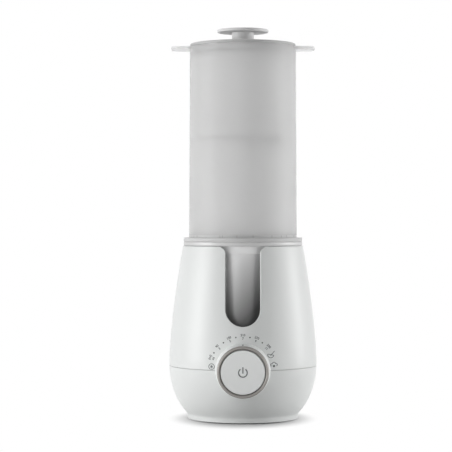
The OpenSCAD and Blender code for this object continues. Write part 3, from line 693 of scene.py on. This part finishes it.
skirt_outline = [
    (skirt_in_r, rim_low.z), (skirt_out_r, rim_low.z), (skirt_out_r, seat_z), (skirt_in_r, seat_z),
]
rim_skirt = turned("rim_skirt", skirt_outline, columns=shell_columns)
round_edges(rim_skirt, rim_edge, segments=2)
# Polished ABS: a bright white that picks up soft reflections at the window's top. Part of its brightness
# is painted light, standing in for light that falls in from above.
polished_abs_and_painted_light = moulded("polished_white_abs_painted_light", "#f2f2f2", 0.3, depth=0.001 * mm, mottle=0.02)
polished_abs_and_painted_light.node_tree.nodes["Principled BSDF"].inputs["Metallic"].default_value = 0.08
dress(rim_skirt, polished_abs_and_painted_light, "base", "pale_plastic")

# Water chamber
# The round well for the bottle, moulded in smoke-grey polycarbonate with a polished wall.
# It hangs by its flange in the rim ring, and its open floor is closed by the heater plate.
chamber_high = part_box("water_chamber")[1]
chamber_r = 45 * mm
chamber_out_r = 47 * mm
chamber_floor = 76 * mm
chamber_floor_t = 2.2 * mm
chamber_under = chamber_floor - chamber_floor_t
chamber_edge = 0.3 * mm
chamber_flange_t = 1.7 * mm
hang_z = chamber_high.z - chamber_flange_t
heater_hole_r = 32 * mm
chamber_outline = [
    (heater_hole_r, chamber_under), (chamber_out_r, chamber_under), (chamber_out_r, hang_z),
    (skirt_out_r, hang_z), (skirt_out_r, chamber_high.z), (chamber_r, chamber_high.z),
    (chamber_r, chamber_floor), (heater_hole_r, chamber_floor),
]
chamber = turned("water_chamber_moulding", chamber_outline, columns=shell_columns)
round_edges(chamber, chamber_edge, segments=2)

# Smoke polycarbonate: a clean sheen over a grey tint. Painted light and shade are drawn into the colour:
# palest at the upper left, where light falls into the window, and darker downwards and to the right.
# The polish is drawn at 0.7 mm, because the real one is too fine to show.
darkest_painted_shade_at = 95 * mm
palest_painted_light_at = 158 * mm
polish_size = 0.7 * mm
smoke = bpy.data.materials.new("smoke_polycarbonate_painted_shade")
smoke.use_nodes = True
tree = smoke.node_tree
shader = tree.nodes["Principled BSDF"]
shader.inputs["Metallic"].default_value = 0.1
shader.inputs["IOR"].default_value = 1.53
place = add_node(tree, "ShaderNodeTexCoord").outputs["Object"]
apart = add_node(tree, "ShaderNodeSeparateXYZ", {0: place}).outputs
# Painted light and shade: height less the sideways place sets how pale the wall is drawn
slope = {0: apart["Z"], 1: apart["X"]}
leaning = add_node(tree, "ShaderNodeMath", slope, operation="SUBTRACT").outputs[0]
painted_light_range = {"Value": leaning, "From Min": darkest_painted_shade_at, "From Max": palest_painted_light_at}
painted_light_share = add_node(tree, "ShaderNodeMapRange", painted_light_range).outputs[0]
smoke_and_painted_shade_tones = {"Factor": painted_light_share, 6: linear("#727272"), 7: linear("#eeeeee")}
tint = add_node(tree, "ShaderNodeMix", smoke_and_painted_shade_tones, data_type="RGBA")
tree.links.new(tint.outputs[2], shader.inputs["Base Color"])
polish = add_node(tree, "ShaderNodeTexNoise", {"Vector": place, "Scale": 1 / polish_size, "Detail": 3})
polish_range = {"Value": polish.outputs["Fac"], "To Min": 0.25, "To Max": 0.35}
gloss = add_node(tree, "ShaderNodeMapRange", polish_range)
tree.links.new(gloss.outputs[0], shader.inputs["Roughness"])
dress(chamber, smoke, "base", "smoke_plastic", "water_chamber")

# Dial cup
# The fixed white ABS collar behind the dial, clamped against the inside of both shells.
# It carries the encoder and hides the gap behind the turning dial.
dial_axis = (0, -1, 0)
dial_centre = (0, 0, seam_z)
cup_low, cup_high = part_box("dial_cup")
cup_r = 24.4 * mm
cup_wall = 2.2 * mm
cup_in_r = cup_r - cup_wall
cup_flange_r = cup_high.x
cup_edge = 0.3 * mm
bush_r = 8 * mm
cup_back = -cup_high.y
cup_floor_t = 2 * mm
cup_floor = cup_back + cup_floor_t
cup_front = -cup_low.y
cup_outline = [
    (bush_r, cup_back), (cup_flange_r, cup_back), (cup_flange_r, cup_floor), (cup_r, cup_floor),
    (cup_r, cup_front), (cup_in_r, cup_front), (cup_in_r, cup_floor), (bush_r, cup_floor),
]
dial_cup = turned("dial_cup_moulding", cup_outline, dial_centre, dial_axis)
round_edges(dial_cup, cup_edge, segments=2)
dress(dial_cup, white_abs, "base", "white_plastic", "dial_cup")

# Dial
# A hollow white ABS knob with a plain conical side, pressed onto the encoder's hollow shaft.
# A short printed tick at its top shows the setting.
knob_low, knob_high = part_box("dial_knob")
knob_back = -knob_high.y
knob_front = -knob_low.y
knob_r = knob_high.x
knob_flare = 0.5 * mm
knob_front_r = 24.3 * mm
knob_wall = 2.2 * mm
knob_in_r = knob_front_r - knob_wall
knob_edge = 0.4 * mm
web_sink = 4.5 * mm
web_t = 2.5 * mm
web_front = knob_front - web_sink
web_back = web_front - web_t
hub_gap = 1 * mm
hub_back = hub_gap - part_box("encoder_body")[0].y
shaft_r = 6.2 * mm
hub_r = 9.5 * mm
dial_columns = 192
knob_outline = [
    (knob_r - knob_wall, knob_back), (knob_r + knob_flare, knob_back), (knob_front_r, knob_front),
    (knob_in_r, knob_front), (knob_in_r, web_front), (shaft_r, web_front), (shaft_r, hub_back),
    (hub_r, hub_back), (hub_r, web_back), (knob_in_r, web_back),
]
dial = turned("dial_moulding", knob_outline, dial_centre, dial_axis, dial_columns)
round_edges(dial, knob_edge)
# Half-polished ABS: a brighter, smoother white than the shell's
bright_abs = moulded("bright_white_abs", "#f4f6f5", 0.32, mottle=0.02)
dress(dial, bright_abs, "dial", "white_plastic", "dial_knob")

tick_w = 1.1 * mm
tick_l = 8 * mm
tick_t = 0.08 * mm
tick_edge = 0.03 * mm
tick_inset = 0.6 * mm
tick_front = knob_front - tick_inset
cone = (knob_r + knob_flare - knob_front_r) / (knob_front - knob_back)
bpy.ops.mesh.primitive_cube_add(size=1)
tick = bpy.context.object
tick.name = tick.data.name = "dial_tick"
for vertex in tick.data.vertices:
    along = tick_front + (vertex.co.y - 0.5) * tick_l
    side = knob_front_r + cone * (knob_front - along)
    x = vertex.co.x * tick_w
    vertex.co = (x, -along, seam_z + math.sqrt(side ** 2 - x ** 2) + tick_t * vertex.co.z)
bpy.ops.object.mode_set(mode="EDIT")
bpy.ops.mesh.select_all(action="SELECT")
bpy.ops.mesh.normals_make_consistent(inside=False)
bpy.ops.object.mode_set(mode="OBJECT")
round_edges(tick, tick_edge, segments=2)
dress(tick, ink, "dial", "white_plastic")

# Trim ring
# A champagne-anodised aluminium ring, turned on a lathe and pressed into the dial's front.
# Its face is rounded on the outside and falls inwards to the button.
trim_low, trim_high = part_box("dial_trim")
trim_front = -trim_low.y
trim_back = knob_front
trim_spigot = -trim_high.y
trim_r = trim_high.x
trim_in_r = 20.9 * mm
trim_lip = 1.2 * mm
trim_crest_r = trim_in_r + trim_lip
trim_play = 0.02 * mm
trim_spigot_r = knob_in_r - trim_play
trim_dip = 1.3 * mm
trim_edge = 0.15 * mm
trim_flank_h = 0.6 * mm
trim_flank = trim_back + trim_flank_h
trim_steps = 10
trim_outline = [
    (trim_in_r, trim_spigot), (trim_spigot_r, trim_spigot), (trim_spigot_r, trim_back), (trim_r, trim_back),
]
for a in spread(0, math.pi / 2, trim_steps):
    outwards = (trim_r - trim_crest_r) * math.cos(a)
    forwards = (trim_front - trim_flank) * math.sin(a)
    trim_outline.append((trim_crest_r + outwards, trim_flank + forwards))
trim_outline.append((trim_in_r, trim_front - trim_dip))
trim = turned("dial_trim_ring", trim_outline, dial_centre, dial_axis, dial_columns)
round_edges(trim, trim_edge, segments=2)

# Anodised aluminium: a warm grey, half metallic under its oxide film, with rings from the lathe.
# Real rings are under 0.1 mm apart, so they are drawn coarser to show.
ring_spacing = 0.25 * mm
champagne = bpy.data.materials.new("champagne_anodised_aluminium")
champagne.use_nodes = True
tree = champagne.node_tree
shader = tree.nodes["Principled BSDF"]
shader.inputs["Metallic"].default_value = 0.4
place = add_node(tree, "ShaderNodeTexCoord").outputs["Object"]
on_axis = add_node(tree, "ShaderNodeMapping", {"Vector": place, "Location": (0, 0, -seam_z)}).outputs[0]
apart = add_node(tree, "ShaderNodeSeparateXYZ", {0: on_axis}).outputs
flat = add_node(tree, "ShaderNodeCombineXYZ", {"X": apart["X"], "Z": apart["Z"]}).outputs[0]
radius = add_node(tree, "ShaderNodeVectorMath", {0: flat}, operation="LENGTH").outputs["Value"]
ring_noise = {"W": radius, "Scale": 1 / ring_spacing}
rings = add_node(tree, "ShaderNodeTexNoise", ring_noise, noise_dimensions="1D").outputs["Fac"]
trim_tones = {"Factor": rings, 6: linear("#9c9995"), 7: linear("#8a8784")}
shade = add_node(tree, "ShaderNodeMix", trim_tones, data_type="RGBA")
tree.links.new(shade.outputs[2], shader.inputs["Base Color"])
gloss = add_node(tree, "ShaderNodeMapRange", {"Value": rings, "To Min": 0.48, "To Max": 0.58})
tree.links.new(gloss.outputs[0], shader.inputs["Roughness"])
dress(trim, champagne, "dial", "metal_trim", "dial_trim")

# Power button
# A bright white ABS cap in the middle of the dial, on a stem through the hollow shaft.
# Its edge is softly rounded, and the usual on-off sign is printed in the middle.
button_low, button_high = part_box("power_button")
button_front = -button_low.y
stem_play = 0.1 * mm
stem_back = stem_play - button_high.y
stem_r = 4.4 * mm
button_r = button_high.x
button_wall = 1.8 * mm
button_in_r = button_r - button_wall
button_face_t = 2.4 * mm
face_back = button_front - button_face_t
button_skirt_h = 2.2 * mm
skirt_back = face_back - button_skirt_h
button_edge = 0.5 * mm
button_outline = [
    (0, stem_back), (stem_r, stem_back), (stem_r, face_back), (button_in_r, face_back),
    (button_in_r, skirt_back), (button_r, skirt_back), (button_r, button_front), (0, button_front),
]
button = turned("power_button_cap", button_outline, dial_centre, dial_axis, dial_columns)
round_edges(button, button_edge, segments=4)
dress(button, bright_abs, "button", "pale_plastic", "power_button")

sign_r = 3.95 * mm
sign_w = 1.05 * mm
sign_gap = 35
bar_low = 0.6 * mm
bar_high = 5.1 * mm
sign_drop = 0.2 * mm
sign = ink_line(arc((0, 0), sign_r, 90 + sign_gap, 270, count=40), sign_w)
right_half = ink_line(arc((0, 0), sign_r, 270, 450 - sign_gap, count=40), sign_w)
bar = ink_line([(0, -bar_low), (0, bar_high)], sign_w)
join(sign, right_half, bar)
sign.name = sign.data.name = "power_sign_print"
for vertex in sign.data.vertices:
    vertex.co = (vertex.co.x, -button_front, seam_z + vertex.co.y - sign_drop)
sign.data.update()
thicken_ink(sign)
dress(sign, ink, "button", "pale_plastic")


# Steam tower
# A tall sleeve moulded in frosted natural polypropylene, with a flange that sits on the rim ring.
# Two thin ears at the top edge are for lifting it, and a spigot below plugs into the chamber.
def frosted(name, colour, alpha, passing):
    """Natural polypropylene: milky, with a dull moulded skin. Alpha is the share of it that hides what
    is behind, and passing is the share of its own light that comes through from the far side."""
    skin_roughness = 0.42
    frost_ior = 1.2
    material = moulded(name, colour, skin_roughness, grain=0.9 * mm, depth=0.004 * mm, mottle=0.04)
    shader = material.node_tree.nodes["Principled BSDF"]
    shader.inputs["Alpha"].default_value = alpha
    shader.inputs["Transmission Weight"].default_value = passing
    shader.inputs["IOR"].default_value = frost_ior
    return material


tower_low, tower_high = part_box("tower_sleeve")
tower_foot = rim_high.z
tower_top = tower_high.z
spigot_r = 44.5 * mm
spigot_in_r = 42.5 * mm
steam_hole_r = 40 * mm
tower_r = 51.9 * mm
tower_top_r = 51.05 * mm
tower_wall = 2.2 * mm
tower_edge = 0.4 * mm
mouth_r = tower_top_r - tower_wall
flange_r = 57.1 * mm
flange_h = 3.9 * mm
flange_top = tower_foot + flange_h
flange_edge = 0.6 * mm
ledge_t = 2.5 * mm
ledge_top = tower_foot + ledge_t
thick_h = 2.5 * mm
thick_top = flange_top + thick_h
thick_r = tower_r - (tower_r - tower_top_r) * thick_h / (tower_top - flange_top)
tower_outline = [
    (spigot_in_r, tower_low.z), (spigot_r, tower_low.z), (spigot_r, tower_foot),
    (flange_r - flange_edge, tower_foot), (flange_r, tower_foot + flange_edge), (flange_r, flange_top),
    (tower_r, flange_top), (thick_r, thick_top), (tower_top_r, tower_top), (mouth_r, tower_top),
    (thick_r - tower_wall, thick_top), (tower_r - tower_wall, ledge_top), (steam_hole_r, ledge_top),
    (steam_hole_r, tower_foot), (spigot_in_r, tower_foot),
]
tower = turned("tower_sleeve_moulding", tower_outline, columns=shell_columns)
round_edges(tower, tower_edge)

ear_tip = tower_high.x
ear_half = 15 * mm
ear_corner = 8 * mm
ear_t = 3 * mm
ear_edge = 0.9 * mm
ear_root = mouth_r + tower_wall / 2
root_turn = math.degrees(math.asin(ear_half / ear_root))
corner_x = ear_tip - ear_corner
corner_y = ear_half - ear_corner
ear_outline = arc((corner_x, -corner_y), ear_corner, -90, 0) + arc((corner_x, corner_y), ear_corner, 0, 90)
ear_outline += arc((0, 0), ear_root, root_turn, -root_turn, count=24)
for side in (1, -1):
    ear = flat_patch([(side * x, side * y) for x, y in ear_outline])
    for vertex in ear.data.vertices:
        vertex.co.z = tower_top - ear_t
    add_modifier(ear, "SOLIDIFY", thickness=ear_t, offset=1)
    round_edges(ear, ear_edge, segments=4, angle=60)
    combine(tower, ear, "UNION")
clean_cuts(tower)
smooth(tower)

# The wall lets the cups show through as a soft shade. Its thick foot and flange hide what is behind
# them and look greyer, and the ears are nearly solid to the eye.
frosted_wall = frosted("frosted_polypropylene", "#f6f6f6", 0.7, 0.7)
dress(tower, frosted_wall, "tower", "frosted_plastic", "tower_sleeve")
tower.data.materials.append(frosted("thick_frosted_polypropylene", "#e6e6e6", 1, 0.25))
tower.data.materials.append(frosted("ear_frosted_polypropylene", "#f2f2f2", 0.9, 0.7))
for face in tower.data.polygons:
    if face.center.z < thick_top:
        face.material_index = 1
    elif math.hypot(face.center.x, face.center.y) > tower_r:
        face.material_index = 2


# Bottle basket and teat tray
# Two frosted polypropylene cups that stand on each other inside the sleeve, with steam holes below.
# The tray's ring drops into the basket's mouth, and its floor shows as a faint line through the wall.
def perforate(piece, floor_z, floor_t):
    """Drills the steam holes through a cup's floor: one in the middle, then a ring of 6 and one of 12."""
    middle_r = 8 * mm
    inner_r = 6 * mm
    outer_r = 4 * mm
    outer_reach = steam_hole_r - outer_r
    inner_reach = (middle_r + outer_reach - outer_r) / 2
    holes = [(0, 0, middle_r)]
    holes += [(inner_reach, degrees, inner_r) for degrees in range(0, 360, 60)]
    holes += [(outer_reach, degrees, outer_r) for degrees in range(15, 360, 30)]
    drill_h = 3 * floor_t
    for reach, degrees, radius in holes:
        drill(piece, radius, drill_h, reach, degrees, floor_z + floor_t / 2)
    clean_cuts(piece)
    smooth(piece)


# Thin natural polypropylene: a faint milky veil behind the wall
frosted_cup = frosted("frosted_basket_polypropylene", "#f0f0f0", 0.45, 0)
basket_low, basket_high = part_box("bottle_basket")
tray_low, tray_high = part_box("teat_tray")
basket_wall = 1.8 * mm
basket_floor_t = 2 * mm
basket_edge = 0.4 * mm
basket_in_r = basket_high.x - basket_wall
basket_floor = basket_low.z + basket_floor_t
basket_outline = [
    (0, basket_low.z), (basket_high.x, basket_low.z), (basket_high.x, basket_high.z),
    (basket_in_r, basket_high.z), (basket_in_r, basket_floor), (0, basket_floor),
]
basket = turned("bottle_basket_moulding", basket_outline)
round_edges(basket, basket_edge)
perforate(basket, basket_low.z, basket_floor_t)
dress(basket, frosted_cup, "basket", "frosted_plastic", "bottle_basket")

nest_play = 0.3 * mm
nest_wall = 1.8 * mm
nest_r = basket_in_r - nest_play
nest_in_r = nest_r - nest_wall
tray_under = basket_high.z
tray_floor = tray_under + basket_floor_t
floor_line = 1.4 * mm
floor_line_top = tray_under + floor_line
tray_outline = [
    (0, tray_under), (nest_in_r, tray_under), (nest_in_r, tray_low.z), (nest_r, tray_low.z),
    (nest_r, tray_under), (tray_high.x, tray_under), (tray_high.x, floor_line_top),
    (tray_high.x, tray_high.z), (basket_in_r, tray_high.z), (basket_in_r, tray_floor), (0, tray_floor),
]
tray = turned("teat_tray_moulding", tray_outline)
round_edges(tray, basket_edge)
perforate(tray, tray_under, basket_floor_t)
dress(tray, frosted_cup, "tray", "frosted_plastic", "teat_tray")
# The tray's floor is solid across at its edge, so the edge hides what is behind it. Its grey is painted
# shade along the joint where the tray sits on the basket.
tray.data.materials.append(frosted("floor_edge_painted_shade_polypropylene", "#c6c6c6", 1, 0))
past_nest = 1 * mm
floor_edge_r = nest_r + past_nest
for face in tray.data.polygons:
    at_edge = math.hypot(face.center.x, face.center.y) > floor_edge_r
    if at_edge and tray_under < face.center.z < floor_line_top:
        face.material_index = 1

# Lid and its knob
# A grey polypropylene lid with a plug skirt and six steam vents, and a mushroom knob on a short stem.
# One screw from below holds the knob.
lid_low, lid_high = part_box("lid")
lid_r = lid_high.x
lid_edge_h = 3 * mm
lid_edge_top = tower_top + lid_edge_h
lid_crown = 0.4 * mm
lid_crown_steps = 16
lid_round = 0.9 * mm
lid_round_steps = 6
lid_edge = 0.25 * mm
lid_columns = 192
knob_seat_r = 11.95 * mm
plug_play = 0.3 * mm
plug_wall = 2 * mm
plug_r = mouth_r - plug_play
plug_in_r = plug_r - plug_wall
lid_outline = [
    (0, tower_top), (plug_in_r, tower_top), (plug_in_r, lid_low.z), (plug_r, lid_low.z),
    (plug_r, tower_top), (lid_r, tower_top),
]
for a in spread(0, math.pi / 2, lid_round_steps):
    inwards = lid_round * (1 - math.cos(a))
    down = lid_round * (1 - math.sin(a))
    lid_outline.append((lid_r - inwards, lid_edge_top - down))
for r in spread(lid_r - 2 * lid_round, knob_seat_r, lid_crown_steps):
    lid_outline.append((r, lid_edge_top + lid_crown * (1 - (r / lid_r) ** 2)))
lid_outline += [(knob_seat_r, lid_high.z), (0, lid_high.z)]
lid = turned("lid_moulding", lid_outline, columns=lid_columns)
round_edges(lid, lid_edge, segments=2)
vent_r = 1.6 * mm
vent_reach = 32 * mm
vent_depth = 20 * mm
vent_sides = 36
for degrees in range(0, 360, 60):
    drill(lid, vent_r, vent_depth, vent_reach, degrees, tower_top, vent_sides)
clean_cuts(lid)
smooth(lid)
# Coloured polypropylene: a matt, slightly waxy grey
grey_pp = moulded("grey_polypropylene", "#bfbfbf", 0.6, mottle=0.03)
dress(lid, grey_pp, "lid", "grey_plastic", "lid")

knob_box_low, knob_box_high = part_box("lid_knob")
disc_mid = 372.9 * mm
disc_half = 1.4 * mm
disc_blunt = 0.4
disc_top = disc_mid + disc_half
disc_under = disc_mid - disc_half
disc_flat_r = knob_box_high.x - disc_half
disc_dome = knob_box_high.z - disc_top
disc_edge = 0.4 * mm
disc_edge_steps = 16
disc_dome_steps = 24
lid_stem_r = 10.5 * mm
lid_knob_columns = 128
lid_knob_outline = [(0, knob_box_low.z), (lid_stem_r, knob_box_low.z), (lid_stem_r, disc_under)]
for a in spread(-math.pi / 2, math.pi / 2, disc_edge_steps):
    outwards = disc_half * abs(math.cos(a)) ** disc_blunt
    lid_knob_outline.append((disc_flat_r + outwards, disc_mid + disc_half * math.sin(a)))
for r in spread(disc_flat_r, 0, disc_dome_steps)[1:]:
    lid_knob_outline.append((r, disc_top + disc_dome * (1 - (r / disc_flat_r) ** 2)))
lid_knob = turned("lid_knob_moulding", lid_knob_outline, columns=lid_knob_columns)
round_edges(lid_knob, disc_edge)
# The same stuff in a paler grey
pale_pp = moulded("pale_grey_polypropylene", "#dcdcdc", 0.6, mottle=0.03)
dress(lid_knob, pale_pp, "lid", "grey_plastic", "lid_knob")

# Inner pieces
# The screws, heater, boards and wiring inside the base, which show only when it is opened.
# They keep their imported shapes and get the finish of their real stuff.
streak_length = 6 * mm
streak_thin = 20

# Brushed steel: a bright grey, streaked along X, which blurs what it mirrors. The streaks are drawn
# about 0.3 mm wide, because real ones are too fine to show.
steel = bpy.data.materials.new("brushed_stainless_steel")
steel.use_nodes = True
tree = steel.node_tree
shader = tree.nodes["Principled BSDF"]
shader.inputs["Metallic"].default_value = 1
place = add_node(tree, "ShaderNodeTexCoord").outputs["Object"]
stretch = {"Vector": place, "Scale": (1, streak_thin, streak_thin)}
drawn = add_node(tree, "ShaderNodeMapping", stretch).outputs[0]
streak_noise = {"Vector": drawn, "Scale": 1 / streak_length, "Detail": 3}
brushing = add_node(tree, "ShaderNodeTexNoise", streak_noise).outputs["Fac"]
steel_tones = {"Factor": brushing, 6: linear("#bfc2c4"), 7: linear("#a9acae")}
shade = add_node(tree, "ShaderNodeMix", steel_tones, data_type="RGBA")
tree.links.new(shade.outputs[2], shader.inputs["Base Color"])
gloss = add_node(tree, "ShaderNodeMapRange", {"Value": brushing, "To Min": 0.22, "To Max": 0.4})
tree.links.new(gloss.outputs[0], shader.inputs["Roughness"])

# Lacquered board: a mottled, half-gloss green, which the terminal block shares
weave = 1.2 * mm
laminate = moulded("green_glass_fibre_laminate", "#2f6b45", 0.35, weave, depth=0.01 * mm, mottle=0.25)
# Glass-filled nylon: a dull black with a grey bloom
black_nylon = moulded("black_glass_filled_nylon", "#2b2c2e", 0.5, mottle=0.12)
# Plain nylon: a warm off-white, like the jackets of the thin leads
cream_nylon = moulded("cream_nylon", "#d8d2c0", 0.45, mottle=0.06)
# Silicone rubber: milky and matt, and dull red as a jacket on the heater's leads
silicone = moulded("milky_silicone", "#cfc8b8", 0.55, mottle=0.05)
red_lead = moulded("red_silicone_lead", "#a32b2b", 0.5, mottle=0.1)
inner_finish = {
    steel: ["base_screws", "heater_plate", "heating_element", "heater_clamp", "clamp_screws",
            "temperature_sensor", "board_screws", "cup_screws", "encoder_nut", "encoder_shaft",
            "knob_screw"],
    laminate: ["control_board", "dial_board", "terminal_block"],
    black_nylon: ["thermostat", "power_relay", "supply_capacitor", "encoder_body", "tact_switch"],
    cream_nylon: ["lead_connectors", "switch_plunger", "ribbon_cable", "sensor_leads"],
    silicone: ["chamber_seal"],
    red_lead: ["heater_leads"],
}
for finish, names in inner_finish.items():
    for name in names:
        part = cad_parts[name]
        part.data.materials.clear()
        part.data.materials.append(finish)
